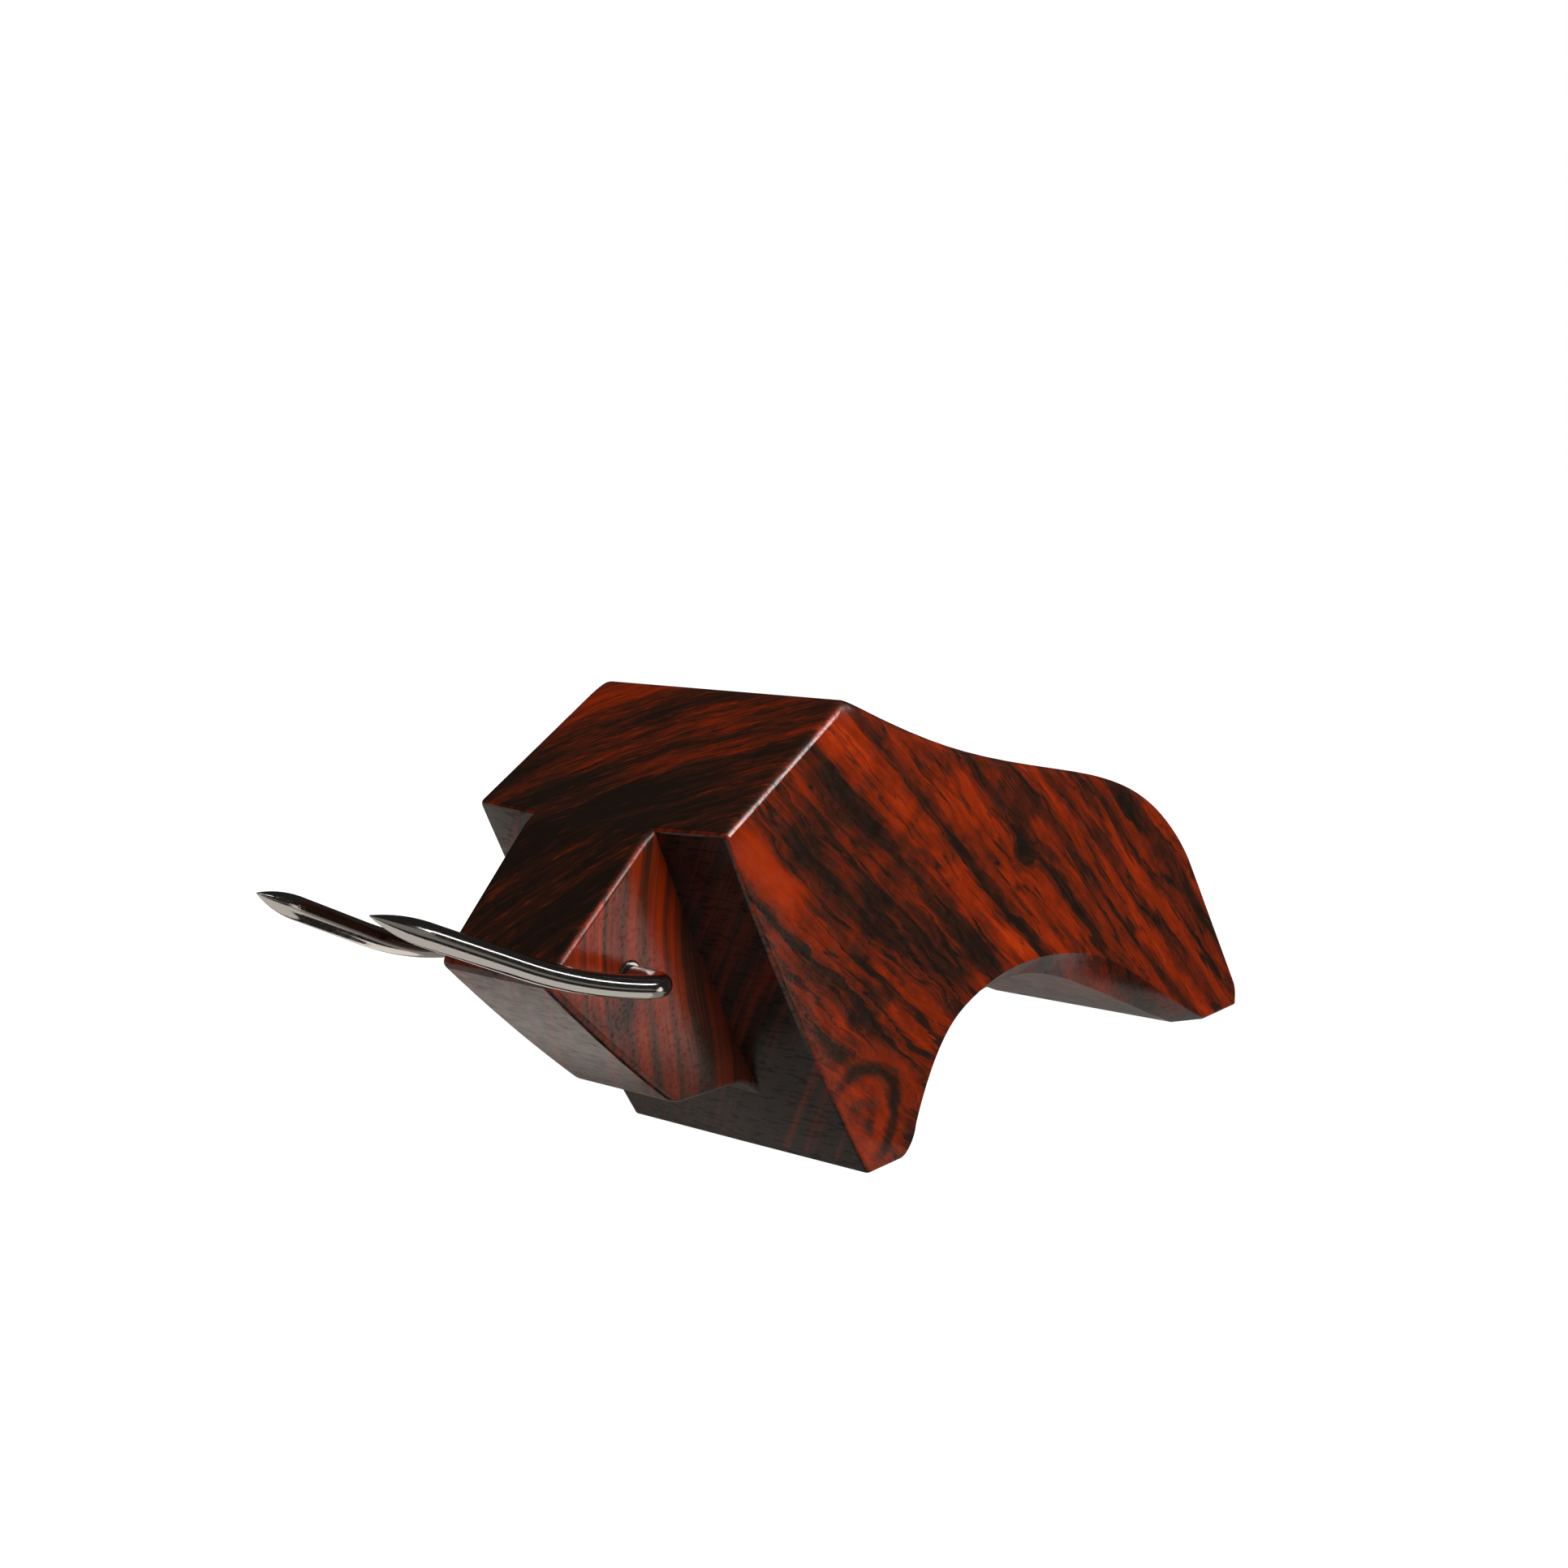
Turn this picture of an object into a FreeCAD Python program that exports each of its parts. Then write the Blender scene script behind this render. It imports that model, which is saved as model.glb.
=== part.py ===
"""A dip pen holder: a stylised bull carved from one rosewood block, with steel rod horns.

Millimetres. +Z is up and the bull faces -Y, mirrored about the plane X = 0. The outlines are
drawn in side view as (y, z), with y = 0 at the front edge of the front feet and z = 0 at the
surface that the bull stands on. Everything is then moved along Y, so that the origin is the
centre of the finished object's footprint box.
"""

import FreeCAD, Part
import math
import os

from FreeCAD import Vector

# Block
BODY_WIDTH = 52.0
HALF_WIDTH = BODY_WIDTH / 2
FOOT_GAP = 0.2  # the wood stands this far off the table, on its felt pads
MARGIN = 5.0  # how far cutting tools run past what they cut

# Back, from the top of the hump to the rear foot
HUMP = (-6.9, 79.2)
SHOULDER_SLOPE = 0.588  # drop over run of the flat from the hump down to the neck
BACK_POINTS = [HUMP, (24.7, 68.2), (57.2, 61.1), (83.5, 55.1), (101.8, 46.2)]
RUMP_START = (113.5, 35.5)
RUMP_SLOPE = 1.316
REAR_Y = 137.2
CROWN_RADIUS = 4.2  # softens the hump's two corners, seen from the front
CROWN_TOP = 80.2
HUMP_ROUND = 3.0  # along the crest, seen from the side
REAR_ROUND = 6.0

# Chest: leans forward from the front foot's edge and swells a little
CHEST_TOP_Z = 61.4
CHEST_LEAN = 0.594  # run over rise
CHEST_SWELL = 1.4
NECK_SWEEP = 0.11  # the chest comes forward towards the neck, per mm from the flank
NECK_SWEEP_START_Z = 16.0

# Belly arch: the outline inside the legs, and the outline on the flanks, outside the bevel
TOE_BACK = [(7.8, 0.0), (12.0, 1.7), (13.9, 5.2)]
ARCH_INNER = [(13.9, 5.2), (18.2, 12.0), (25.4, 18.2), (34.8, 21.4), (43.8, 22.7),
              (52.0, 22.8), (62.0, 21.1), (76.0, 16.3), (96.5, 7.8), (115.4, 0.0)]
ARCH_FLANK = [(13.5, 5.2), (17.3, 12.6), (24.6, 20.7), (32.6, 24.2), (41.0, 26.1),
              (50.0, 26.6), (62.0, 25.6), (76.8, 22.0), (98.2, 12.1), (122.5, 0.0)]
BEVEL_DEPTH = 4.4  # how far the arch bevel reaches in from each flank

# Sanded edges
TOP_EDGE_ROUND = 1.3
CHEST_EDGE_ROUND = 0.8
FOOT_EDGE_ROUND = 0.5
HEAD_EDGE_ROUND = 1.1

# Head, in side view, and the taper of its cheeks
NECK_CREST_Y = -39.3
MUZZLE = (-59.2, 41.6)
JAW_CORNER = (-30.4, 16.6)
CHIN_SWELL = 0.5
CREST_BLEND = 10.0
MUZZLE_ROUND = 1.2
JAW_ROUND = 5.0
THROAT = [(-16.2, 16.4), (-11.8, 14.6), (-5.2, 7.4)]  # the jaw's blend down into the chest
CHEEK_HALF = 10.95  # half the head's width at y = 0, z = 0
CHEEK_PER_Y = 0.0365
CHEEK_PER_Z = 0.0547

# Horns
ROD_DIAMETER = 3.5
ROD_RADIUS = ROD_DIAMETER / 2
HORN_ROOT = (-41.84, 39.54)
SHANK_END_X = 15.43
BEND_RADIUS = 5.5
TOE_IN_DEG = 12.2
RISE_START_DEG = 9.5
RISE_END_DEG = 24.4
RISE_LENGTH = 22.0
HORN_STRAIGHT = 24.9
POINT_LENGTH = 9.5
TIP_TRIM = 0.25  # the sharp end of the ogive, rounded off
HORN_HIDDEN_X = 3.5  # where the rod ends inside the head

# Ferrules
FIT_CLEARANCE = 0.02
SLEEVE_RADIUS = 2.2
FLANGE_RADIUS = 2.5
FLANGE_BACK_X = 11.1
FLANGE_FRONT_X = 12.0
FLANGE_ROUND = 0.35
BORE_END_X = 2.6

# Felt pads
PAD_THICKNESS = 1.2
PAD_LENGTH = 44.0
FRONT_PAD_Y = (1.8, 6.6)
REAR_PAD_Y = (118.5, 131.5)
PAD_CORNER = 1.5


def side(point, x=0.0):
    """A point of a side-view outline, placed at x."""
    return Vector(x, point[0], point[1])


def spline(points, x=0.0, tangents=None):
    """A smooth edge through side-view points, with its two end directions if they are given."""
    curve = Part.BSplineCurve()
    places = [side(p, x) for p in points]
    if tangents:
        start, end = (side(t).normalize() for t in tangents)
        curve.interpolate(Points=places, InitialTangent=start, FinalTangent=end)
    else:
        curve.interpolate(Points=places)
    return curve.toShape()


def line(start, end, x=0.0):
    return Part.LineSegment(side(start, x), side(end, x)).toShape()


def prism(edges, x_from, x_to):
    """The solid between two X planes whose outline is these edges, drawn at x = x_from."""
    face = Part.Face(Part.Wire(edges))
    return face.extrude(Vector(x_to - x_from, 0, 0))


def shoulder_z(y):
    return HUMP[1] - SHOULDER_SLOPE * (HUMP[0] - y)


def edges_near(shape, test):
    """The edges whose middle point passes the test."""
    found = []
    for edge in shape.Edges:
        middle = edge.valueAt((edge.FirstParameter + edge.LastParameter) / 2)
        if test(middle):
            found.append(edge)
    return found


def torso_block():
    """The body's side outline across its full width, before the chest and the arch are cut."""
    front = -45.0
    corner = REAR_Y, RUMP_START[1] - (REAR_Y - RUMP_START[0]) * RUMP_SLOPE
    low_front = front, -MARGIN
    high_front = front, shoulder_z(front)
    heel = REAR_Y, -MARGIN
    back_start = 1.0, -0.40
    rump_end = 1.0, -RUMP_SLOPE
    outline = [
        line(low_front, high_front, -HALF_WIDTH),
        line(high_front, HUMP, -HALF_WIDTH),
        spline(BACK_POINTS + [RUMP_START], -HALF_WIDTH, (back_start, rump_end)),
        line(RUMP_START, corner, -HALF_WIDTH),
        line(corner, heel, -HALF_WIDTH),
        line(heel, low_front, -HALF_WIDTH),
    ]
    block = prism(outline, -HALF_WIDTH, HALF_WIDTH)
    for place, radius in ((corner, REAR_ROUND), (HUMP, HUMP_ROUND)):
        spot = side(place)
        edge = edges_near(block, lambda middle: middle.distanceToPoint(spot) < 0.01)
        block = block.makeFillet(radius, edge)
    return block.common(crown_prism())


def crown_prism():
    """The body's outline seen from the front: straight flanks and a soft corner over each."""
    lag = CROWN_RADIUS * (1 - math.sqrt(0.5))
    high = CROWN_TOP - CROWN_RADIUS
    flat = HALF_WIDTH - CROWN_RADIUS
    start_y = -100.0
    outline = []
    for sign in (1, -1):
        outline.append(Part.Arc(Vector(sign * HALF_WIDTH, start_y, high),
                                Vector(sign * (HALF_WIDTH - lag), start_y, CROWN_TOP - lag),
                                Vector(sign * flat, start_y, CROWN_TOP)).toShape())
        outline.append(Part.LineSegment(Vector(sign * HALF_WIDTH, start_y, -MARGIN),
                                        Vector(sign * HALF_WIDTH, start_y, high)).toShape())
    outline.append(Part.LineSegment(Vector(-flat, start_y, CROWN_TOP),
                                    Vector(flat, start_y, CROWN_TOP)).toShape())
    outline.append(Part.LineSegment(Vector(HALF_WIDTH, start_y, -MARGIN),
                                    Vector(-HALF_WIDTH, start_y, -MARGIN)).toShape())
    face = Part.Face(Part.Wire(Part.__sortEdges__(outline)))
    return face.extrude(Vector(0, 300, 0))


def chest_y(x, z):
    """The chest surface: a lean, a slight swell, and a sweep forward towards the neck."""
    rise = z / CHEST_TOP_Z
    swell = 4 * CHEST_SWELL * rise * (1 - rise)
    inward = HALF_WIDTH - math.hypot(x, CHEEK_HALF)
    sweep = NECK_SWEEP * inward * min(max(z / NECK_SWEEP_START_Z, 0.0), 1.0)
    return -CHEST_LEAN * z - swell - sweep


def chest_cutter():
    """Everything in front of the chest surface."""
    reach = HALF_WIDTH + MARGIN
    columns = [reach * i / 4 for i in range(-4, 5)]
    rows = [-4.0, 4.0, 12.0, 20.0, 32.0, 44.0, 56.0, 68.0]
    grid = [[Vector(x, chest_y(x, z), z) for z in rows] for x in columns]
    surface = Part.BSplineSurface()
    surface.interpolate(grid)
    return surface.toShape().extrude(Vector(0, -60, 0))


def arch_wire(points, x):
    """One outline of the belly arch: the toe's rounded back, the arch, and a close below ground."""
    toe = [(p[0] + points[0][0] - TOE_BACK[2][0], p[1]) for p in TOE_BACK]
    start = toe[0]
    end = points[-1]
    low_start = start[0], -MARGIN
    low_end = end[0], -MARGIN
    return Part.Wire([
        Part.Arc(side(toe[0], x), side(toe[1], x), side(toe[2], x)).toShape(),
        spline(points, x),
        line(end, low_end, x),
        line(low_end, low_start, x),
        line(low_start, start, x),
    ])


def arch_cutter():
    """The gap under the belly, flaring outside its bevelled edges."""
    reach = HALF_WIDTH + MARGIN
    through = Part.Face(arch_wire(ARCH_INNER, -reach)).extrude(Vector(2 * reach, 0, 0))
    flare = 1 + MARGIN / 20
    outer_points = [(a[0] + flare * (b[0] - a[0]), a[1] + flare * (b[1] - a[1]))
                    for a, b in zip(ARCH_INNER, ARCH_FLANK)]
    for sign in (-1, 1):
        inner = arch_wire(ARCH_INNER, sign * (HALF_WIDTH - BEVEL_DEPTH))
        outer = arch_wire(outer_points, sign * (HALF_WIDTH + (flare - 1) * BEVEL_DEPTH))
        through = through.fuse(Part.makeLoft([inner, outer], True, True))
    return through


def cheek_x(y, z):
    return CHEEK_HALF + CHEEK_PER_Y * y + CHEEK_PER_Z * z


def head_block():
    """The head: forehead, muzzle, chin and jaw between two tapered cheeks."""
    crest = NECK_CREST_Y, shoulder_z(NECK_CREST_Y)
    crown = -8.0, shoulder_z(-8.0)
    nape = 0.0, THROAT[2][1]
    middle = (MUZZLE[0] + JAW_CORNER[0]) / 2, (MUZZLE[1] + JAW_CORNER[1]) / 2
    chin_run = math.dist(MUZZLE, JAW_CORNER)
    outward = ((MUZZLE[1] - JAW_CORNER[1]) / chin_run, (JAW_CORNER[0] - MUZZLE[0]) / chin_run)
    chin = (middle[0] - CHIN_SWELL * outward[0], middle[1] - CHIN_SWELL * outward[1])
    reach = 20.0
    outline = [
        line(crown, crest, -reach),
        line(crest, MUZZLE, -reach),
        Part.Arc(side(MUZZLE, -reach), side(chin, -reach), side(JAW_CORNER, -reach)).toShape(),
        line(JAW_CORNER, THROAT[0], -reach),
        Part.Arc(*(side(p, -reach) for p in THROAT)).toShape(),
        line(THROAT[2], nape, -reach),
        line(nape, crown, -reach),
    ]
    head = prism(outline, -reach, reach)
    for place, radius in ((crest, CREST_BLEND), (JAW_CORNER, JAW_ROUND), (MUZZLE, MUZZLE_ROUND)):
        spot = side(place)
        edge = edges_near(head, lambda middle: middle.distanceToPoint(spot) < 0.01)
        head = head.makeFillet(radius, edge)
    corners = [(-75.0, 0.0), (5.0, 0.0), (5.0, 90.0), (-75.0, 90.0)]
    for sign in (-1, 1):
        cheek = Part.makePolygon([Vector(sign * cheek_x(*c), *c) for c in corners + corners[:1]])
        head = head.cut(Part.Face(cheek).extrude(Vector(sign * 40, 0, 0)))
    return head


def body():
    """The whole bull: torso and head in one, sanded, bored for the horns, recessed for the pads."""
    def on_flank(place):
        return abs(abs(place.x) - HALF_WIDTH) < 0.01

    def on_top_edge(place):
        on_rear = on_flank(place) and place.y > -10 and (place.z > 6 or place.y > 125)
        on_rear = on_rear or (on_flank(place) and place.z > CHEST_TOP_Z)
        on_hump = place.z > 66 and (abs(place.x) > 1 or place.z > 70)
        return on_rear or on_hump

    def on_chest_edge(place):
        return on_flank(place) and place.y < -5 and 10 < place.z < CHEST_TOP_Z

    torso = torso_block().cut(chest_cutter())
    torso = torso.makeFillet(TOP_EDGE_ROUND, edges_near(torso, on_top_edge))
    torso = torso.makeFillet(CHEST_EDGE_ROUND, edges_near(torso, on_chest_edge))
    reach = 2 * HALF_WIDTH
    below = Part.makeBox(2 * reach, 300, 50, Vector(-reach, -100, FOOT_GAP - 50))
    torso = torso.cut(below)
    sole = [f for f in torso.Faces if f.BoundBox.ZMax < FOOT_GAP + 0.01]
    torso = torso.makeFillet(FOOT_EDGE_ROUND, sole[0].Edges).cut(arch_cutter())

    head = head_block()
    cheek_edges = edges_near(
        head, lambda m: m.y < -1 and abs(abs(m.x) - cheek_x(m.y, m.z)) < 0.05)
    whole = torso.fuse(head.makeFillet(HEAD_EDGE_ROUND, cheek_edges))

    root_y, root_z = HORN_ROOT
    for sign in (-1, 1):
        along = Vector(sign, 0, 0)
        start = Vector(sign * BORE_END_X, root_y, root_z)
        counterbore = Vector(sign * (FLANGE_BACK_X - FIT_CLEARANCE), root_y, root_z)
        whole = whole.cut(Part.makeCylinder(SLEEVE_RADIUS + FIT_CLEARANCE, 20, start, along))
        whole = whole.cut(Part.makeCylinder(FLANGE_RADIUS + FIT_CLEARANCE, 20, counterbore, along))
    for pad_y in (FRONT_PAD_Y, REAR_PAD_Y):
        whole = whole.cut(pad_shape(pad_y, FIT_CLEARANCE))
    return whole


def pad_shape(y_range, extra=0.0):
    """A felt strip across the feet, or with extra its recess in the wood."""
    near, far = y_range
    box = Part.makeBox(PAD_LENGTH + 2 * extra, far - near + 2 * extra, PAD_THICKNESS + extra,
                       Vector(-PAD_LENGTH / 2 - extra, near - extra, 0))
    corners = edges_near(box, lambda m: 0 < m.z < PAD_THICKNESS + extra)
    upright = [e for e in corners if abs(e.Length - PAD_THICKNESS - extra) < 0.01]
    return box.makeFillet(PAD_CORNER + extra, upright)


def horn():
    """The +X horn: a straight root, a tight bend forward, a gentle rise, and a long ogive point."""
    root_y, root_z = HORN_ROOT
    yaw = math.radians(TOE_IN_DEG)
    low = math.radians(RISE_START_DEG)
    high = math.radians(RISE_END_DEG)
    ahead = Vector(-math.sin(yaw), -math.cos(yaw), 0)
    up = Vector(0, 0, 1)
    outward = Vector(1, 0, 0)

    shank_start = Vector(HORN_HIDDEN_X, root_y, root_z)
    shank_end = Vector(SHANK_END_X, root_y, root_z)
    leave = ahead * math.cos(low) + up * math.sin(low)
    turn = math.acos(outward.dot(leave))
    inward = (leave - outward * outward.dot(leave)).normalize()
    bend_centre = shank_end + inward * BEND_RADIUS

    def on_bend(angle):
        return bend_centre + (outward * math.sin(angle) - inward * math.cos(angle)) * BEND_RADIUS

    bend_end = on_bend(turn)
    rise_radius = RISE_LENGTH / (high - low)
    lift = up * math.cos(low) - ahead * math.sin(low)
    rise_centre = bend_end + lift * rise_radius

    def on_rise(angle):
        return rise_centre + (ahead * math.sin(angle) - up * math.cos(angle)) * rise_radius

    rise_end = on_rise(high)
    aim = ahead * math.cos(high) + up * math.sin(high)
    point_start = rise_end + aim * (HORN_STRAIGHT - POINT_LENGTH)
    path = Part.Wire([
        Part.LineSegment(shank_start, shank_end).toShape(),
        Part.Arc(shank_end, on_bend(turn / 2), bend_end).toShape(),
        Part.Arc(bend_end, on_rise((low + high) / 2), rise_end).toShape(),
        Part.LineSegment(rise_end, point_start).toShape(),
    ])
    section = Part.Wire(Part.Circle(shank_start, outward, ROD_RADIUS).toShape())
    rod = path.makePipeShell([section], True, False)
    return rod.fuse(ogive(point_start, aim)).removeSplitter()


def ogive(base, aim):
    """The horn's point: a tangent ogive ending in a small round tip."""
    curve_radius = (ROD_RADIUS ** 2 + POINT_LENGTH ** 2) / (2 * ROD_RADIUS)

    def radius_at(run):
        return math.sqrt(curve_radius ** 2 - run ** 2) + ROD_RADIUS - curve_radius

    cut = POINT_LENGTH - TIP_TRIM
    nose = Part.Arc(Vector(ROD_RADIUS, 0, 0), Vector(radius_at(cut / 2), 0, cut / 2),
                    Vector(radius_at(cut), 0, cut)).toShape()
    tip_z = cut + 0.6 * radius_at(cut)
    cap = Part.Arc(Vector(radius_at(cut), 0, cut),
                   Vector(0.6 * radius_at(cut), 0, cut + 0.45 * radius_at(cut)),
                   Vector(0, 0, tip_z)).toShape()
    axis = Part.LineSegment(Vector(0, 0, tip_z), Vector(0, 0, 0)).toShape()
    foot = Part.LineSegment(Vector(0, 0, 0), Vector(ROD_RADIUS, 0, 0)).toShape()
    solid = Part.Face(Part.Wire([nose, cap, axis, foot])).revolve(
        Vector(0, 0, 0), Vector(0, 0, 1), 360)
    turn = FreeCAD.Rotation(Vector(0, 0, 1), aim)
    return solid.transformGeometry(FreeCAD.Placement(base, turn).toMatrix())


def collar():
    """The +X ferrule: a sleeve in the bore with a thin rounded flange on the cheek."""
    root_y, root_z = HORN_ROOT
    along = Vector(1, 0, 0)
    back = Vector(FLANGE_BACK_X, root_y, root_z)
    sleeve_start = Vector(BORE_END_X + FIT_CLEARANCE, root_y, root_z)
    flange = Part.makeCylinder(FLANGE_RADIUS, FLANGE_FRONT_X - FLANGE_BACK_X, back, along)
    rim = edges_near(flange, lambda m: m.x > FLANGE_FRONT_X - 0.01)
    flange = flange.makeFillet(FLANGE_ROUND, rim)
    sleeve = Part.makeCylinder(SLEEVE_RADIUS, FLANGE_BACK_X - sleeve_start.x, sleeve_start, along)
    bore = Part.makeCylinder(ROD_RADIUS + FIT_CLEARANCE, 20, shank_seat(), along)
    return flange.fuse(sleeve).cut(bore)


def shank_seat():
    root_y, root_z = HORN_ROOT
    return Vector(HORN_HIDDEN_X - FIT_CLEARANCE, root_y, root_z)


def mirrored(shape):
    return shape.mirror(Vector(0, 0, 0), Vector(1, 0, 0))


left_horn = horn()
left_collar = collar()
pieces = {
    "body": body(),
    "horn_left": left_horn,
    "horn_right": mirrored(left_horn),
    "horn_collar_left": left_collar,
    "horn_collar_right": mirrored(left_collar),
    "front_foot_pad": pad_shape(FRONT_PAD_Y),
    "rear_foot_pad": pad_shape(REAR_PAD_Y),
}

# The tips of the horns and the rear foot are the two ends of the finished object.
front_y = left_horn.optimalBoundingBox().YMin
shift = Vector(0, -(front_y + REAR_Y) / 2, 0)
os.makedirs("parts", exist_ok=True)
for node, shape in pieces.items():
    shape.translate(shift)
    shape.exportStep(f"parts/{node}.step")
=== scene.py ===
import math

import bpy
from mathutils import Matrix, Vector

# The bull faces -Y and stands on z = 0. Its materials work in millimetres, with y measured from
# the front edge of the front feet, which lies this far in front of the origin.
FRONT_MM = 23.15
MM_PER_METRE = 1000.0

# The flank's figure, as (y, z). Its streaks fan out from a far point behind and below the rear
# foot, so they are placed by an angle, given as a length along an arc, and by a run towards it.
FAN_POINT = (236.0, -103.0)
FAN_RADIUS = 235.0
RUN_START = 385.0
KNOT = (47.0, 47.5)
SWIRL = (-2.5, 10.0)

# The studio, in metres
STAGE_RADIUS = 6.0
CARD_Z = -0.001  # the floor's reflectors lie just under it
LIGHT_TARGET = (0.0, 0.0, 0.04)
CAMERA_PLACE = (0.20789, -0.27742, 0.11204)
CAMERA_DOWN_DEG = 8.571
CAMERA_TURN_DEG = 38.15
LENS_MM = 45.49
SENSOR_MM = 36.0

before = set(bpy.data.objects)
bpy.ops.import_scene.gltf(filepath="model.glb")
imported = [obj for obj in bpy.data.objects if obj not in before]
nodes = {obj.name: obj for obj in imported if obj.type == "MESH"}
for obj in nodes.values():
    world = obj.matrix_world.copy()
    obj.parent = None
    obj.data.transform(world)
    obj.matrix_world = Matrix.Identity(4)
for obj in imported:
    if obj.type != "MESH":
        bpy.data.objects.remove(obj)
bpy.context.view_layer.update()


class Graph:
    """Builds a material's nodes: each call returns the socket of its result."""

    def __init__(self, name):
        self.material = bpy.data.materials.new(name)
        self.material.use_nodes = True
        self.tree = self.material.node_tree
        self.tree.nodes.clear()

    def node(self, kind, **settings):
        made = self.tree.nodes.new(kind)
        for key, value in settings.items():
            setattr(made, key, value)
        return made

    def put(self, socket, value):
        if isinstance(value, bpy.types.NodeSocket):
            self.tree.links.new(value, socket)
        else:
            socket.default_value = value

    def math(self, operation, *values, clamp=False):
        made = self.node("ShaderNodeMath", operation=operation, use_clamp=clamp)
        for socket, value in zip(made.inputs, values):
            self.put(socket, value)
        return made.outputs[0]

    def add(self, *values):
        total = values[0]
        for value in values[1:]:
            total = self.math("ADD", total, value)
        return total

    def mul(self, *values):
        total = values[0]
        for value in values[1:]:
            total = self.math("MULTIPLY", total, value)
        return total

    def sub(self, a, b):
        return self.math("SUBTRACT", a, b)

    def split(self, vector):
        made = self.node("ShaderNodeSeparateXYZ")
        self.put(made.inputs[0], vector)
        return made.outputs

    def join(self, x, y, z):
        made = self.node("ShaderNodeCombineXYZ")
        for socket, value in zip(made.inputs, (x, y, z)):
            self.put(socket, value)
        return made.outputs[0]

    def smooth(self, value, low, high, out_low=0.0, out_high=1.0):
        """An S-curve from out_low at low to out_high at high; low may be the larger."""
        made = self.node("ShaderNodeMapRange", interpolation_type="SMOOTHSTEP")
        for socket, item in zip(made.inputs, (value, low, high, out_low, out_high)):
            self.put(socket, item)
        return made.outputs[0]

    def noise(self, vector, scale=1.0, detail=2.0, roughness=0.5):
        made = self.node("ShaderNodeTexNoise")
        self.put(made.inputs["Vector"], vector)
        made.inputs["Scale"].default_value = scale
        made.inputs["Detail"].default_value = detail
        made.inputs["Roughness"].default_value = roughness
        return made.outputs["Fac"]

    def swing(self, vector, reach, **settings):
        """Noise about zero, up to half of reach either way."""
        return self.mul(self.sub(self.noise(vector, **settings), 0.5), reach)

    def ramp(self, value, stops, interpolation="EASE"):
        made = self.node("ShaderNodeValToRGB")
        made.color_ramp.interpolation = interpolation
        points = made.color_ramp.elements
        while len(points) < len(stops):
            points.new(0.5)
        for point, (place, colour) in zip(points, stops):
            point.position = place
            point.color = (*colour, 1) if isinstance(colour, tuple) else (colour,) * 3 + (1,)
        self.put(made.inputs[0], value)
        return made.outputs[0]

    def mix(self, factor, a, b):
        made = self.node("ShaderNodeMix", data_type="FLOAT")
        sockets = [s for s in made.inputs if s.enabled]
        for socket, value in zip(sockets, (factor, a, b)):
            self.put(socket, value)
        return [s for s in made.outputs if s.enabled][0]

    def bump(self, height, strength, distance, normal=None):
        made = self.node("ShaderNodeBump")
        made.inputs["Strength"].default_value = strength
        made.inputs["Distance"].default_value = distance
        self.put(made.inputs["Height"], height)
        if normal is not None:
            self.put(made.inputs["Normal"], normal)
        return made.outputs[0]

    def surface(self, **inputs):
        """Closes the graph with one shader, and returns the finished material."""
        shader = self.node("ShaderNodeBsdfPrincipled")
        for name, value in inputs.items():
            self.put(shader.inputs[name.replace("_", " ")], value)
        out = self.node("ShaderNodeOutputMaterial")
        self.tree.links.new(shader.outputs[0], out.inputs["Surface"])
        return self.material


def banded(graph, place, stops):
    """Lightness along a figure's cross coordinate, from (coordinate, tone) pairs."""
    low, high = stops[0][0], stops[-1][0]
    share = graph.math("DIVIDE", graph.sub(place, low), high - low, clamp=True)
    pairs = [((spot - low) / (high - low), tone) for spot, tone in stops]
    return graph.ramp(share, pairs, "LINEAR")


def distance(graph, a, b):
    """The length of a vector with these two parts."""
    return graph.math("SQRT", graph.add(graph.mul(a, a), graph.mul(b, b)))


def blot(g, run, run_centre, run_reach, flow, flow_centre, flow_reach):
    """A soft patch along and across the figure."""
    along = g.math("ABSOLUTE", g.sub(run, run_centre))
    across = g.math("ABSOLUTE", g.sub(flow, flow_centre))
    return g.mul(g.smooth(along, run_reach, run_reach * 0.4),
                 g.smooth(across, flow_reach, flow_reach * 0.35))


def flank_bands(g, flow):
    """The dark and light bands of the flank, in two halves that meet in one light band."""
    meeting_tone = 0.88
    front = banded(g, flow, [
        (80.0, 0.60), (86.0, 0.40), (92.0, 0.66), (99.5, 0.55), (102.0, 0.10), (104.5, 0.60),
        (106.5, 0.74), (108.5, 0.56), (110.0, 0.12), (112.0, 0.48), (114.5, 0.62), (116.5, 0.46),
        (117.4, 0.18), (118.6, 0.55), (120.5, 0.62), (122.5, 0.46), (125.5, 0.36), (127.7, 0.40),
        (128.8, 0.14), (130.2, 0.50), (133.0, 0.42), (135.0, 0.08), (137.2, 0.12), (139.2, 0.68),
        (143.0, 0.97), (145.2, 0.70), (147.0, 0.10), (149.5, 0.60), (152.0, meeting_tone)])
    rear = banded(g, flow, [
        (152.0, meeting_tone), (154.0, 0.66), (156.0, 0.86), (158.3, 0.60), (160.0, 0.12),
        (161.5, 0.46), (163.5, 0.62), (165.7, 0.50), (167.0, 0.10), (168.4, 0.64), (170.2, 0.88),
        (172.2, 0.62), (173.7, 0.12), (175.0, 0.60), (176.8, 0.78), (178.4, 0.55), (179.5, 0.12),
        (180.6, 0.48), (182.2, 0.56), (183.4, 0.36), (184.8, 0.08), (186.4, 0.30), (188.0, 0.62),
        (192.0, 0.72), (196.0, 0.26), (200.0, 0.66), (206.0, 0.40), (214.0, 0.60)])
    return g.sub(g.add(front, rear), meeting_tone)


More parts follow.
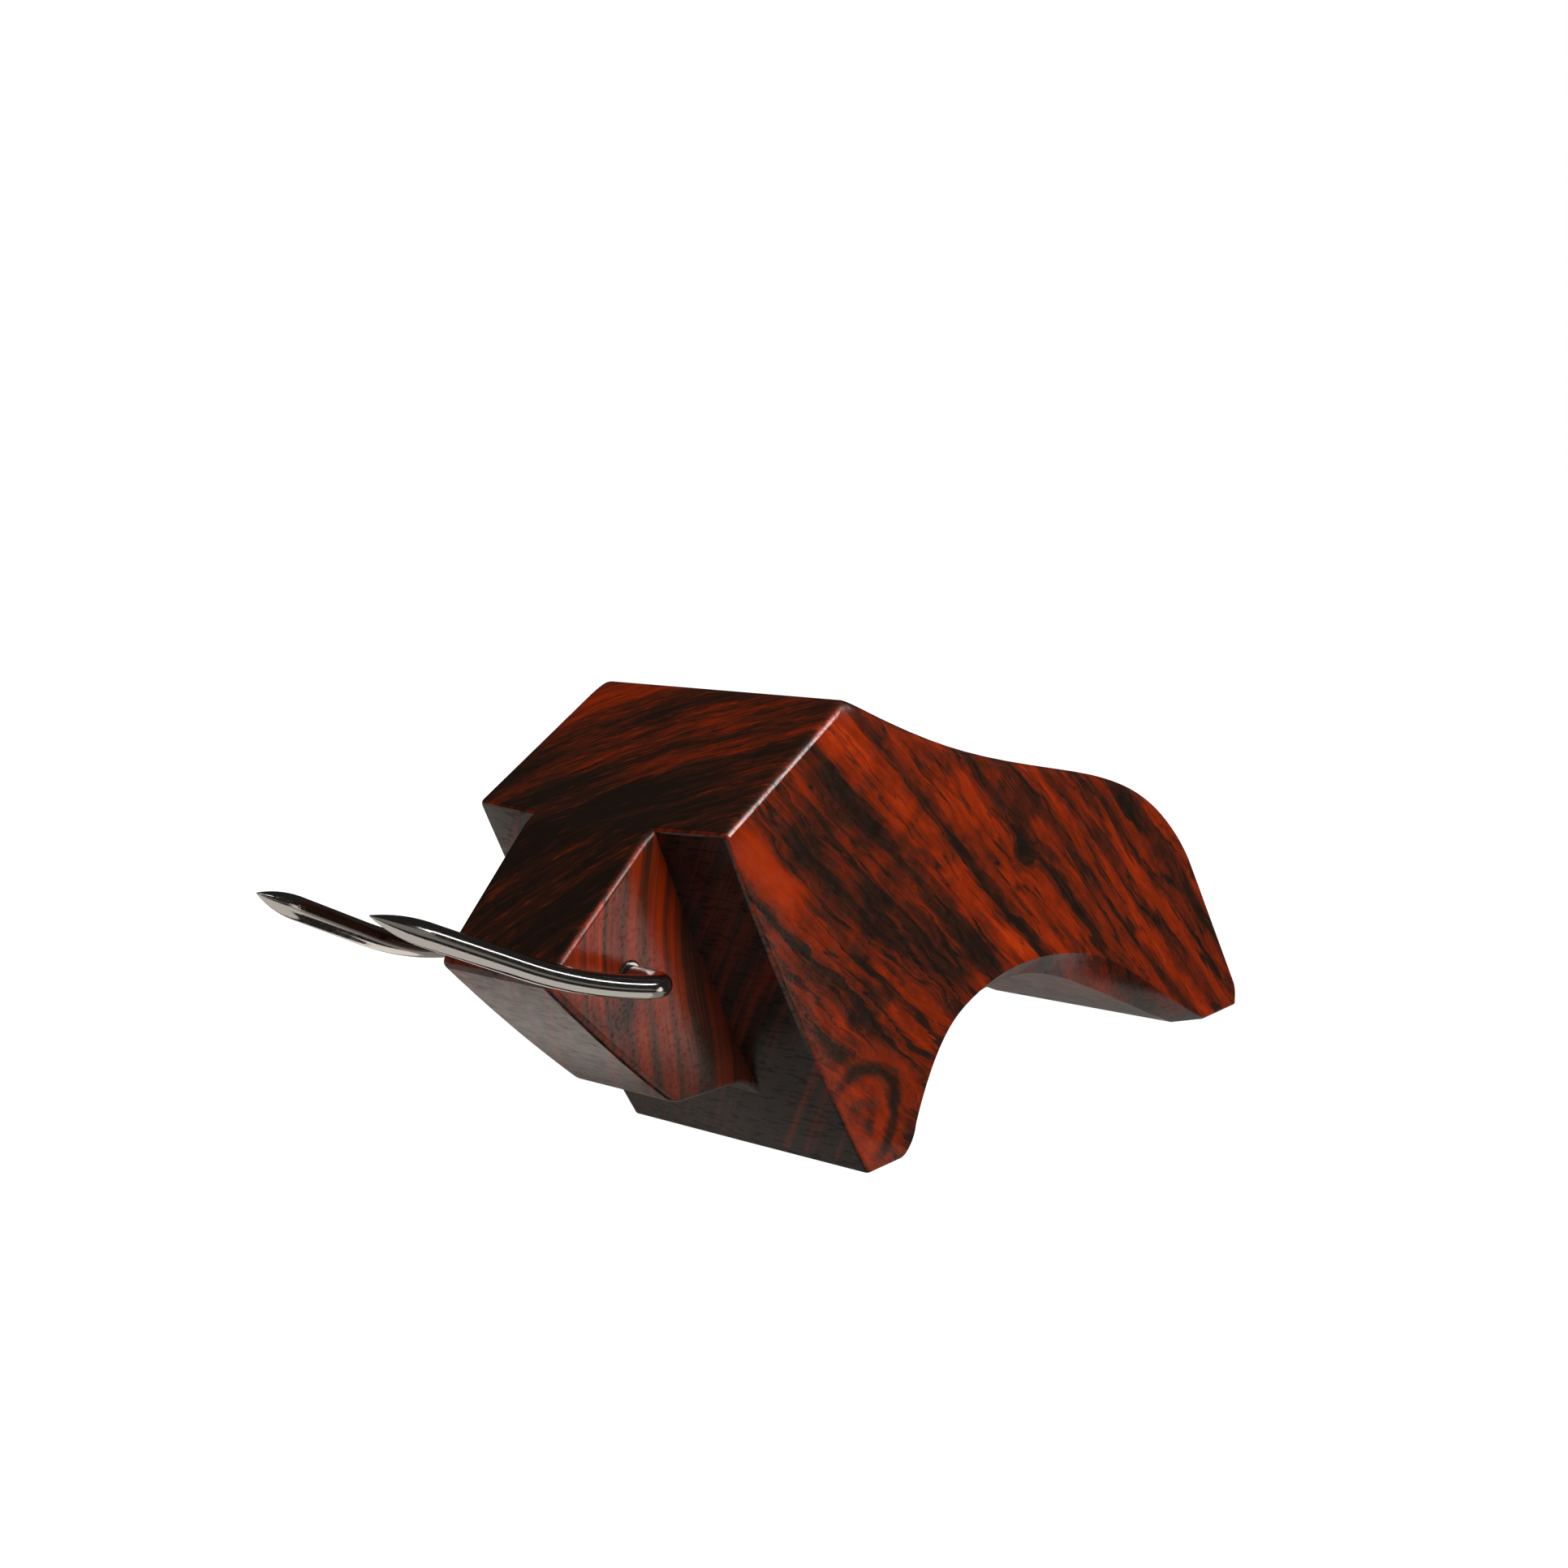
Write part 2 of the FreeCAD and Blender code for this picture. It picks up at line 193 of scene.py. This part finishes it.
def leg_swirl(g, y, z, warp, streaks):
    """The curl on the front leg: how far it covers the streaks there, and its tone."""
    from_y = g.sub(y, SWIRL[0])
    from_z = g.sub(z, SWIRL[1])
    curl = distance(g, from_y, g.mul(from_z, 1.2))
    rings = banded(g, g.add(curl, warp), [
        (0.0, 0.60), (1.6, 0.50), (2.8, 0.26), (3.8, 0.30), (5.2, 0.60), (7.4, 0.68),
        (8.6, 0.44), (9.6, 0.18), (11.0, 0.18), (12.4, 0.54), (16.0, 0.66)])
    facing = g.add(g.mul(from_y, 0.8), g.mul(from_z, 0.6))
    rings = g.mix(g.smooth(facing, -5.0, 4.0), 0.60, rings)
    return g.smooth(curl, 16.0, 11.0), g.add(rings, g.mul(streaks, 0.8))


def flank_figure(g, x, y, z, left):
    """Fanned streaks, with a knot, a swirl and a few soft patches on the left flank."""
    to_y = g.sub(FAN_POINT[0], y)
    to_z = g.sub(z, FAN_POINT[1])
    fan = g.mul(g.math("ARCTAN2", to_z, to_y), FAN_RADIUS)
    run = g.sub(RUN_START, distance(g, to_y, to_z))
    lean = g.mul(g.sub(fan, 163.0), g.sub(run, 150.0), -0.0045)
    steady = g.add(fan, lean)

    # Waves of three sizes bend the streaks
    slow = g.join(g.mul(x, 0.02), g.mul(fan, 0.06), g.mul(run, 0.03))
    quick = g.join(g.mul(x, 0.05), g.mul(fan, 0.36), g.mul(run, 0.055))
    frayed = g.join(g.mul(x, 0.15), g.mul(fan, 1.1), g.mul(run, 0.07))
    wave = g.swing(slow, 5.0, detail=2.0, roughness=0.5)
    ripple = g.swing(quick, 4.0, detail=3.0, roughness=0.6)
    fray = g.swing(frayed, 2.2, detail=2.0, roughness=0.6)
    knot = g.mul(g.smooth(distance(g, g.sub(y, KNOT[0]), g.sub(z, KNOT[1])), 6.0, 0.0), left)
    other_side = g.mul(g.sub(1.0, left), 27.0)
    flow = g.add(steady, wave, ripple, fray, g.mul(knot, 3.0), other_side)

    # Bands that come and go, then streaks and thin veins over them
    middle = 0.48
    fade = g.noise(g.join(g.mul(x, 0.04), g.mul(fan, 0.12), g.mul(run, 0.035)), detail=2.0)
    contrast = g.smooth(fade, 0.30, 0.62, 0.50, 1.1)
    tone = g.add(middle, g.mul(g.sub(flank_bands(g, flow), middle), contrast))
    streak = g.join(g.mul(x, 0.1), g.mul(flow, 0.45), g.mul(run, 0.040))
    fine = g.join(g.mul(x, 0.3), g.mul(flow, 1.8), g.mul(run, 0.13))
    streaks = g.add(g.swing(streak, 1.05, detail=4.0, roughness=0.62),
                    g.swing(fine, 0.70, detail=3.0, roughness=0.65))
    vein = g.noise(g.join(g.mul(x, 0.05), g.mul(flow, 0.28), g.mul(run, 0.018)), detail=2.0)
    veins = g.smooth(g.math("ABSOLUTE", g.sub(vein, 0.5)), 0.035, 0.006)
    tone = g.sub(g.add(0.145, g.mul(tone, 0.68), streaks), g.mul(veins, 0.26))

    # Dark patches in the middle, and one bright flame behind the shoulder
    loose = g.add(steady, ripple)
    tilted = g.sub(loose, g.mul(g.sub(run, 122.0), 0.24))
    patch = g.add(blot(g, run, 92.0, 15.0, loose, 120.8, 4.6),
                  blot(g, run, 123.0, 24.0, tilted, 128.8, 6.0),
                  blot(g, run, 108.0, 22.0, loose, 110.0, 3.6))
    flame = g.mul(blot(g, run, 78.0, 15.0, loose, 115.4, 5.0), left)
    cloud = g.noise(g.join(g.mul(x, 0.05), g.mul(y, 0.07), g.mul(z, 0.09)), detail=3.0)
    tone = g.sub(tone, g.mul(g.smooth(cloud, 0.46, 0.62), g.smooth(run, 175.0, 120.0), 0.20))
    tone = g.mix(flame, g.sub(tone, g.mul(patch, 0.21)), g.add(0.80, g.mul(streaks, 0.4)))

    warp = g.add(g.mul(ripple, 1.1), g.mul(fray, 0.35), wave)
    swirl, swirl_tone = leg_swirl(g, y, z, warp, streaks)
    return g.mix(g.mul(swirl, left), tone, swirl_tone), knot


def top_figure(g, x, y, z):
    """Shoulders, forehead and back: steeper grain, with broken lines and short pore dashes."""
    cross = g.add(g.mul(x, -0.788), g.mul(y, 0.531), g.mul(z, 0.312), 2.36)
    run = g.add(g.mul(x, 0.616), g.mul(y, 0.679), g.mul(z, 0.4))
    bend = g.sub(g.mul(g.add(run, 12.0), g.add(run, 12.0), 0.0045), 2.7)
    straight = g.add(cross, bend)
    slow = g.join(g.mul(cross, 0.05), g.mul(run, 0.03), 4.0)
    quick = g.join(g.mul(cross, 0.3), g.mul(run, 0.10), 9.0)
    flow = g.add(straight, g.swing(slow, 6.0, detail=2.0), g.swing(quick, 2.4, detail=3.0))
    bands = banded(g, flow, [
        (-30.0, 0.42), (-22.0, 0.36), (-16.0, 0.26), (-12.0, 0.50), (-7.0, 0.36), (-3.5, 0.50),
        (-1.0, 0.22), (4.0, 0.16), (6.5, 0.52), (9.0, 0.44), (11.5, 0.20), (14.5, 0.38),
        (17.0, 0.54), (20.5, 0.40), (23.5, 0.20), (29.0, 0.24), (32.0, 0.60), (36.0, 0.66),
        (41.0, 0.40), (45.0, 0.60), (52.0, 0.30), (58.0, 0.62), (66.0, 0.32), (75.0, 0.62)])
    streak = g.join(g.mul(flow, 0.50), g.mul(run, 0.050), 2.0)
    fine = g.join(g.mul(flow, 1.5), g.mul(run, 0.14), 5.0)
    pores = g.noise(g.join(g.mul(straight, 2.0), g.mul(run, 0.30), 7.0), detail=1.0)
    dashes = g.mul(g.smooth(pores, 0.60, 0.72), 0.22)
    specks = g.mul(g.smooth(pores, 0.38, 0.26), 0.22)
    return g.sub(g.add(g.mul(bands, 0.72), 0.10, dashes,
                       g.swing(streak, 0.95, detail=3.0, roughness=0.6),
                       g.swing(fine, 0.85, detail=3.0, roughness=0.6)), specks)


def cheek_figure(g, x, y, z):
    """The sides of the head: near upright stripes with a slight S curve."""
    sway = g.mul(g.math("SINE", g.mul(g.sub(z, 30.0), 0.125)), 1.3)
    lean = g.mul(g.sub(z, 30.0), 0.10)
    slow = g.swing(g.join(g.mul(x, 0.02), g.mul(y, 0.08), g.mul(z, 0.035)), 3.0, detail=2.0)
    flow = g.add(y, lean, sway, slow, 64.0)
    bands = banded(g, flow, [
        (-6.0, 0.50), (4.0, 0.62), (9.8, 0.66), (10.8, 0.26), (11.6, 0.62), (14.4, 0.58),
        (15.0, 0.22), (15.6, 0.66), (18.8, 0.70), (19.5, 0.24), (20.2, 0.62), (22.2, 0.50),
        (22.8, 0.16), (23.4, 0.18), (24.2, 0.60), (26.2, 0.66), (27.1, 0.20), (28.2, 0.18),
        (29.4, 0.58), (32.0, 0.62), (33.0, 0.28), (34.0, 0.55), (36.0, 0.40), (37.0, 0.12),
        (39.2, 0.10), (41.0, 0.46), (44.2, 0.50), (45.0, 0.22), (46.2, 0.45), (60.0, 0.40)])
    streak = g.join(g.mul(x, 0.05), g.mul(flow, 0.9), g.mul(z, 0.022))
    fine = g.join(g.mul(x, 0.1), g.mul(flow, 3.4), g.mul(z, 0.05))
    low = g.mul(g.smooth(z, 34.0, 22.0), 0.13)
    return g.sub(g.add(0.20, g.mul(bands, 0.58), g.swing(streak, 0.6, detail=3.0),
                       g.swing(fine, 0.5, detail=3.0)), low)


def chest_figure(g, x, y, z):
    """Chest, throat and chin: dark wood with low contrast stripes."""
    rise = g.add(g.mul(y, -0.511), g.mul(z, 0.86))
    cross = g.add(g.mul(x, -0.82), g.mul(rise, 0.57))
    run = g.add(g.mul(x, 0.57), g.mul(rise, 0.82))
    sway = g.swing(g.join(g.mul(cross, 0.05), g.mul(run, 0.02), 1.0), 3.0, detail=1.0)
    flow = g.add(cross, sway)
    streak = g.join(g.mul(flow, 0.55), g.mul(run, 0.012), 3.0)
    fine = g.join(g.mul(flow, 1.9), g.mul(run, 0.05), 6.0)
    lead = g.sub(g.mul(z, -0.594), y)
    return g.add(0.17, g.swing(streak, 2.2, detail=2.0), g.swing(fine, 0.8, detail=2.0),
                 g.mul(g.smooth(lead, 7.0, 14.0), 0.26))


def wood_tone(g, x, y, z, sideways, nz, under, fore):
    """The figure's lightness over the whole block. Its sides are told apart by the normal.

    sideways and nz are the normal's parts; under marks the faces that look down, and fore
    the head and chest.
    """
    left = g.math("GREATER_THAN", x, 0.0)
    flank, knot = flank_figure(g, x, y, z, left)
    tone = g.mix(g.mul(under, fore), top_figure(g, x, y, z), chest_figure(g, x, y, z))
    tone = g.mix(g.mul(under, g.sub(1.0, fore)), tone, flank)
    side = g.smooth(sideways, 0.5, 0.75)
    tone = g.mix(side, tone, flank)
    head = g.mul(g.smooth(g.math("ABSOLUTE", x), 19.0, 16.0), fore)
    tone = g.mix(g.mul(side, head), tone, cheek_figure(g, x, y, z))

    # Painted shade on the shoulders' upward faces: a little darker, most of all at the brow, and
    # lighter on the right
    painted_top_shade = g.mul(g.smooth(nz, 0.5, 0.7), g.smooth(y, 4.0, -4.0))
    painted_brow_shade = g.mul(painted_top_shade, g.smooth(y, -22.0, -32.0))
    tone = g.sub(tone, g.add(g.mul(painted_top_shade, 0.06), g.mul(painted_brow_shade, 0.26)))
    tone = g.add(tone, g.mul(painted_top_shade, g.smooth(x, -2.0, -20.0), 0.06))
    mottle = g.swing(g.join(x, y, z), 0.12, scale=0.12, detail=3.0)
    return g.add(g.sub(tone, g.mul(knot, 0.25)), mottle)


def rosewood():
    """Lacquered rosewood, with a figure of its own on each side of the block."""
    g = Graph("rosewood_gloss")
    coords = g.node("ShaderNodeTexCoord")
    scaled = g.node("ShaderNodeVectorMath", operation="SCALE")
    g.put(scaled.inputs[0], coords.outputs["Object"])
    scaled.inputs["Scale"].default_value = MM_PER_METRE
    x, y_row, z = g.split(scaled.outputs[0])
    y = g.add(y_row, FRONT_MM)
    place = g.join(x, y, z)
    nx, _, nz = g.split(g.node("ShaderNodeNewGeometry").outputs["Normal"])
    sideways = g.math("ABSOLUTE", nx)
    under = g.smooth(nz, -0.05, -0.2)
    fore = g.smooth(y, 8.0, 5.0)

    tone = wood_tone(g, x, y, z, sideways, nz, under, fore)
    colour = g.ramp(tone, [
        (0.0, (0.010, 0.0052, 0.0034)), (0.20, (0.024, 0.0072, 0.0037)),
        (0.38, (0.068, 0.0095, 0.0030)), (0.58, (0.150, 0.0130, 0.0014)),
        (0.80, (0.245, 0.0185, 0.0012)), (1.0, (0.350, 0.0310, 0.0016))], "LINEAR")

    # The grain shows faintly through the lacquer film, which is duller on the rubbed edges
    grain = g.noise(g.join(g.mul(x, 0.5), y, g.mul(z, 1.6)), scale=0.8, detail=3.0, roughness=0.6)
    film = g.noise(place, scale=1.7, detail=2.0, roughness=0.55)
    normal = g.bump(film, 0.09, 0.00006, g.bump(grain, 0.12, 0.00016))
    rough = g.smooth(g.noise(place, scale=0.35, detail=3.0), 0.3, 0.7, 0.17, 0.24)
    rubbed = g.mul(g.smooth(sideways, 0.10, 0.25), g.smooth(sideways, 0.985, 0.93),
                   g.smooth(nz, 0.05, 0.20), g.smooth(y, -3.0, -7.0))
    rough = g.add(rough, g.mul(under, fore, 0.08), g.mul(rubbed, 0.17))
    flecks = g.noise(g.join(g.mul(x, 0.35), g.mul(y, 1.3), g.mul(z, 1.3)), detail=2.0)
    gleam = g.smooth(flecks, 0.34, 0.50, 0.22, 0.5)
    return g.surface(Base_Color=colour, Roughness=rough, IOR=1.5, Normal=normal,
                     Specular_IOR_Level=gleam)


def chrome(name, tint, roughness):
    """Polished steel with a faint haze and a faint wave."""
    g = Graph(name)
    coords = g.node("ShaderNodeTexCoord")
    haze = g.noise(coords.outputs["Object"], scale=900.0, detail=3.0, roughness=0.6)
    rough = g.smooth(haze, 0.3, 0.75, roughness * 0.7, roughness * 1.5)
    wave = g.noise(coords.outputs["Object"], scale=160.0, detail=1.0)
    normal = g.bump(wave, 0.12, 0.00004)
    return g.surface(Base_Color=(*tint, 1), Metallic=1.0, Roughness=rough, Normal=normal)


def felt():
    """Dark felt, with fine fibres in soft clumps."""
    g = Graph("pressed_felt")
    coords = g.node("ShaderNodeTexCoord")
    fibre = g.noise(coords.outputs["Object"], scale=2600.0, detail=4.0, roughness=0.7)
    clump = g.noise(coords.outputs["Object"], scale=500.0, detail=2.0)
    colour = g.ramp(g.add(g.mul(fibre, 0.7), g.mul(clump, 0.3)),
                    [(0.35, (0.020, 0.018, 0.016)), (0.65, (0.085, 0.078, 0.07))])
    return g.surface(Base_Color=colour, Roughness=0.95, Sheen_Weight=0.3,
                     Normal=g.bump(fibre, 0.6, 0.0002))


def paint(node, material):
    """Gives a node one material."""
    data = nodes[node].data
    data.materials.clear()
    data.materials.append(material)


wood = rosewood()
horn_steel = chrome("horn_chrome", (0.66, 0.65, 0.635), 0.115)
collar_steel = chrome("collar_chrome", (0.62, 0.615, 0.61), 0.07)
pad_felt = felt()
paint("body", wood)
for end in ("left", "right"):
    paint(f"horn_{end}", horn_steel)
    paint(f"horn_collar_{end}", collar_steel)
for end in ("front", "rear"):
    paint(f"{end}_foot_pad", pad_felt)


def glow(name, colour, strength):
    """A plain light-giving material."""
    material = bpy.data.materials.new(name)
    material.use_nodes = True
    tree = material.node_tree
    tree.nodes.clear()
    shader = tree.nodes.new("ShaderNodeEmission")
    shader.inputs["Color"].default_value = (*colour, 1)
    shader.inputs["Strength"].default_value = strength
    out = tree.nodes.new("ShaderNodeOutputMaterial")
    tree.links.new(shader.outputs[0], out.inputs["Surface"])
    return material


def stage_mesh(name, points, faces, material):
    """A mesh of the studio, which isn't part of the object."""
    mesh = bpy.data.meshes.new(name)
    mesh.from_pydata(points, [], faces)
    mesh.materials.append(material)
    made = bpy.data.objects.new(name, mesh)
    bpy.context.scene.collection.objects.link(made)
    return made


def card(name, points, colour, strength):
    """A flat reflector, given by its corners, that only glossy surfaces see."""
    made = stage_mesh(name, points, [tuple(range(len(points)))],
                      glow(f"{name}_light", colour, strength))
    made.visible_camera = False
    made.visible_diffuse = False
    made.visible_shadow = False
    made.visible_transmission = False


def floor_card(name, x_range, y_range, colour, strength):
    """A rectangular reflector that lies in the floor."""
    (x0, x1), (y0, y1) = x_range, y_range
    corners = [(x0, y0, CARD_Z), (x1, y0, CARD_Z), (x1, y1, CARD_Z), (x0, y1, CARD_Z)]
    card(name, corners, colour, strength)


def turned(name, profile, material, turns=48):
    """A surface of revolution about the Z axis, from (radius, height) pairs."""
    points = []
    for radius, height in profile:
        for k in range(turns):
            angle = 2 * math.pi * k / turns
            points.append((radius * math.cos(angle), radius * math.sin(angle), height))
    faces = []
    for row in range(len(profile) - 1):
        for k in range(turns):
            a = row * turns + k
            b = row * turns + (k + 1) % turns
            faces.append((a, b, b + turns, a + turns))
    made = stage_mesh(name, points, faces, material)
    made.visible_glossy = False
    for face in made.data.polygons:
        face.use_smooth = True
    return made


def backdrop():
    """A pale floor, and a pale dome over it, which neither lights nor shows in the object."""
    paper = bpy.data.materials.new("floor_paper")
    paper.use_nodes = True
    shader = paper.node_tree.nodes["Principled BSDF"]
    shader.inputs["Base Color"].default_value = (0.3, 0.3, 0.3, 1)
    shader.inputs["Roughness"].default_value = 1.0
    shader.inputs["Specular IOR Level"].default_value = 0.0
    shader.inputs["Emission Color"].default_value = (1, 1, 1, 1)
    shader.inputs["Emission Strength"].default_value = 1.0
    paper.cycles.emission_sampling = "NONE"
    floor = turned("studio_floor", [(0.0, 0.0), (0.3, 0.0), (1.0, 0.0), (STAGE_RADIUS, 0.0)], paper)
    floor.visible_diffuse = False
    sky = glow("dome_glow", (1, 1, 1), 1.0)
    sky.cycles.emission_sampling = "NONE"
    step = 0.157  # radians, a tenth of a quarter turn
    profile = [(STAGE_RADIUS * math.cos(step * k), STAGE_RADIUS * math.sin(step * k))
               for k in range(11)]
    dome = turned("studio_dome", profile, sky)
    dome.visible_diffuse = False
    dome.visible_shadow = False


def lamp(name, place, target, size, power):
    """A rectangular area light, in watts, that gives diffuse light only."""
    data = bpy.data.lights.new(name, "AREA")
    data.shape = "RECTANGLE"
    data.size, data.size_y = size
    data.energy = power
    made = bpy.data.objects.new(name, data)
    made.location = place
    made.rotation_euler = (Vector(target) - Vector(place)).to_track_quat("-Z", "Y").to_euler()
    made.visible_glossy = False
    made.visible_camera = False
    bpy.context.scene.collection.objects.link(made)
    return made


backdrop()
world = bpy.data.worlds.new("studio")
world.use_nodes = True
world.node_tree.nodes["Background"].inputs["Color"].default_value = (0.02, 0.019, 0.018, 1)
bpy.context.scene.world = world
lamp("key", (1.28, -0.22, 1.15), LIGHT_TARGET, (0.7, 0.7), 47.0)
lamp("fill", (-0.3, -1.4, 0.2), LIGHT_TARGET, (0.9, 0.9), 0.7)
lamp("floor_bounce", (0.05, 0.0, 0.0015), (0.05, 0.0, 1.0), (1.0, 1.0), 0.6)

# The edge light only makes highlights, and only on the wood. The chrome has a softer one.
edge_light = lamp("edge_light", (0.88, 0.34, 0.44), LIGHT_TARGET, (0.62, 0.44), 19.0)
edge_light.visible_glossy = True
edge_light.visible_diffuse = False
wooden = bpy.data.collections.new("wooden")
wooden.objects.link(nodes["body"])
edge_light.light_linking.receiver_collection = wooden

# What the lacquer and the chrome reflect
floor_card("front_floor", (-1.0, 0.065), (-0.80, -0.085), (1, 0.92, 0.84), 0.62)
floor_card("far_horn_floor", (-1.0, -0.100), (-0.085, -0.068), (1, 0.92, 0.84), 0.62)
floor_card("near_horn_floor", (0.012, 0.065), (-0.085, -0.047), (1, 0.92, 0.84), 0.62)
floor_card("chin_floor", (-1.0, -0.010), (-0.068, -0.047), (1, 0.90, 0.82), 0.95)
# The dim cards under the toes and the belly are painted shadow: they stand in for the floor where
# the body shades it
floor_card("toe_floor_shadow", (-1.0, 0.065), (-0.047, -0.006), (1, 0.90, 0.82), 0.26)
floor_card("belly_floor_shadow", (-1.0, 0.018), (-0.006, 0.060), (1, 0.90, 0.84), 0.13)
floor_card("rear_floor", (-1.0, 0.018), (0.060, 0.84), (1, 0.90, 0.84), 0.21)
floor_card("heel_floor", (0.018, 0.028), (0.060, 0.84), (1, 0.92, 0.87), 0.36)
floor_card("right_floor", (0.12, 1.2), (-0.85, 0.01), (1, 0.93, 0.82), 0.20)
card("right_wall", [(0.9, -0.55, -0.05), (0.9, 0.25, -0.05), (0.9, 0.25, 0.25), (0.9, -0.55, 0.25)],
     (1, 0.92, 0.82), 0.22)
card("cheek_panel", [(0.1, -0.014, 0.002), (0.1, 0.035, -0.052), (0.1, 0.066, -0.040),
                     (0.1, 0.033, 0.024), (0.1, 0.018, 0.036)], (1, 0.90, 0.82), 1.2)
card("horn_strip", [(0.86, 0.32, 0.36), (0.70, 0.62, 0.34), (0.68, 0.60, 0.44), (0.84, 0.30, 0.46)],
     (1, 1, 1), 3.0)

camera_data = bpy.data.cameras.new("camera")
camera_data.sensor_width = SENSOR_MM
camera_data.lens = LENS_MM
camera_data.clip_start = 0.01
camera = bpy.data.objects.new("camera", camera_data)
camera.location = CAMERA_PLACE
camera.rotation_euler = (math.radians(90 - CAMERA_DOWN_DEG), 0, math.radians(CAMERA_TURN_DEG))
bpy.context.scene.collection.objects.link(camera)
bpy.context.scene.camera = camera
bpy.context.scene.view_settings.view_transform = "Standard"
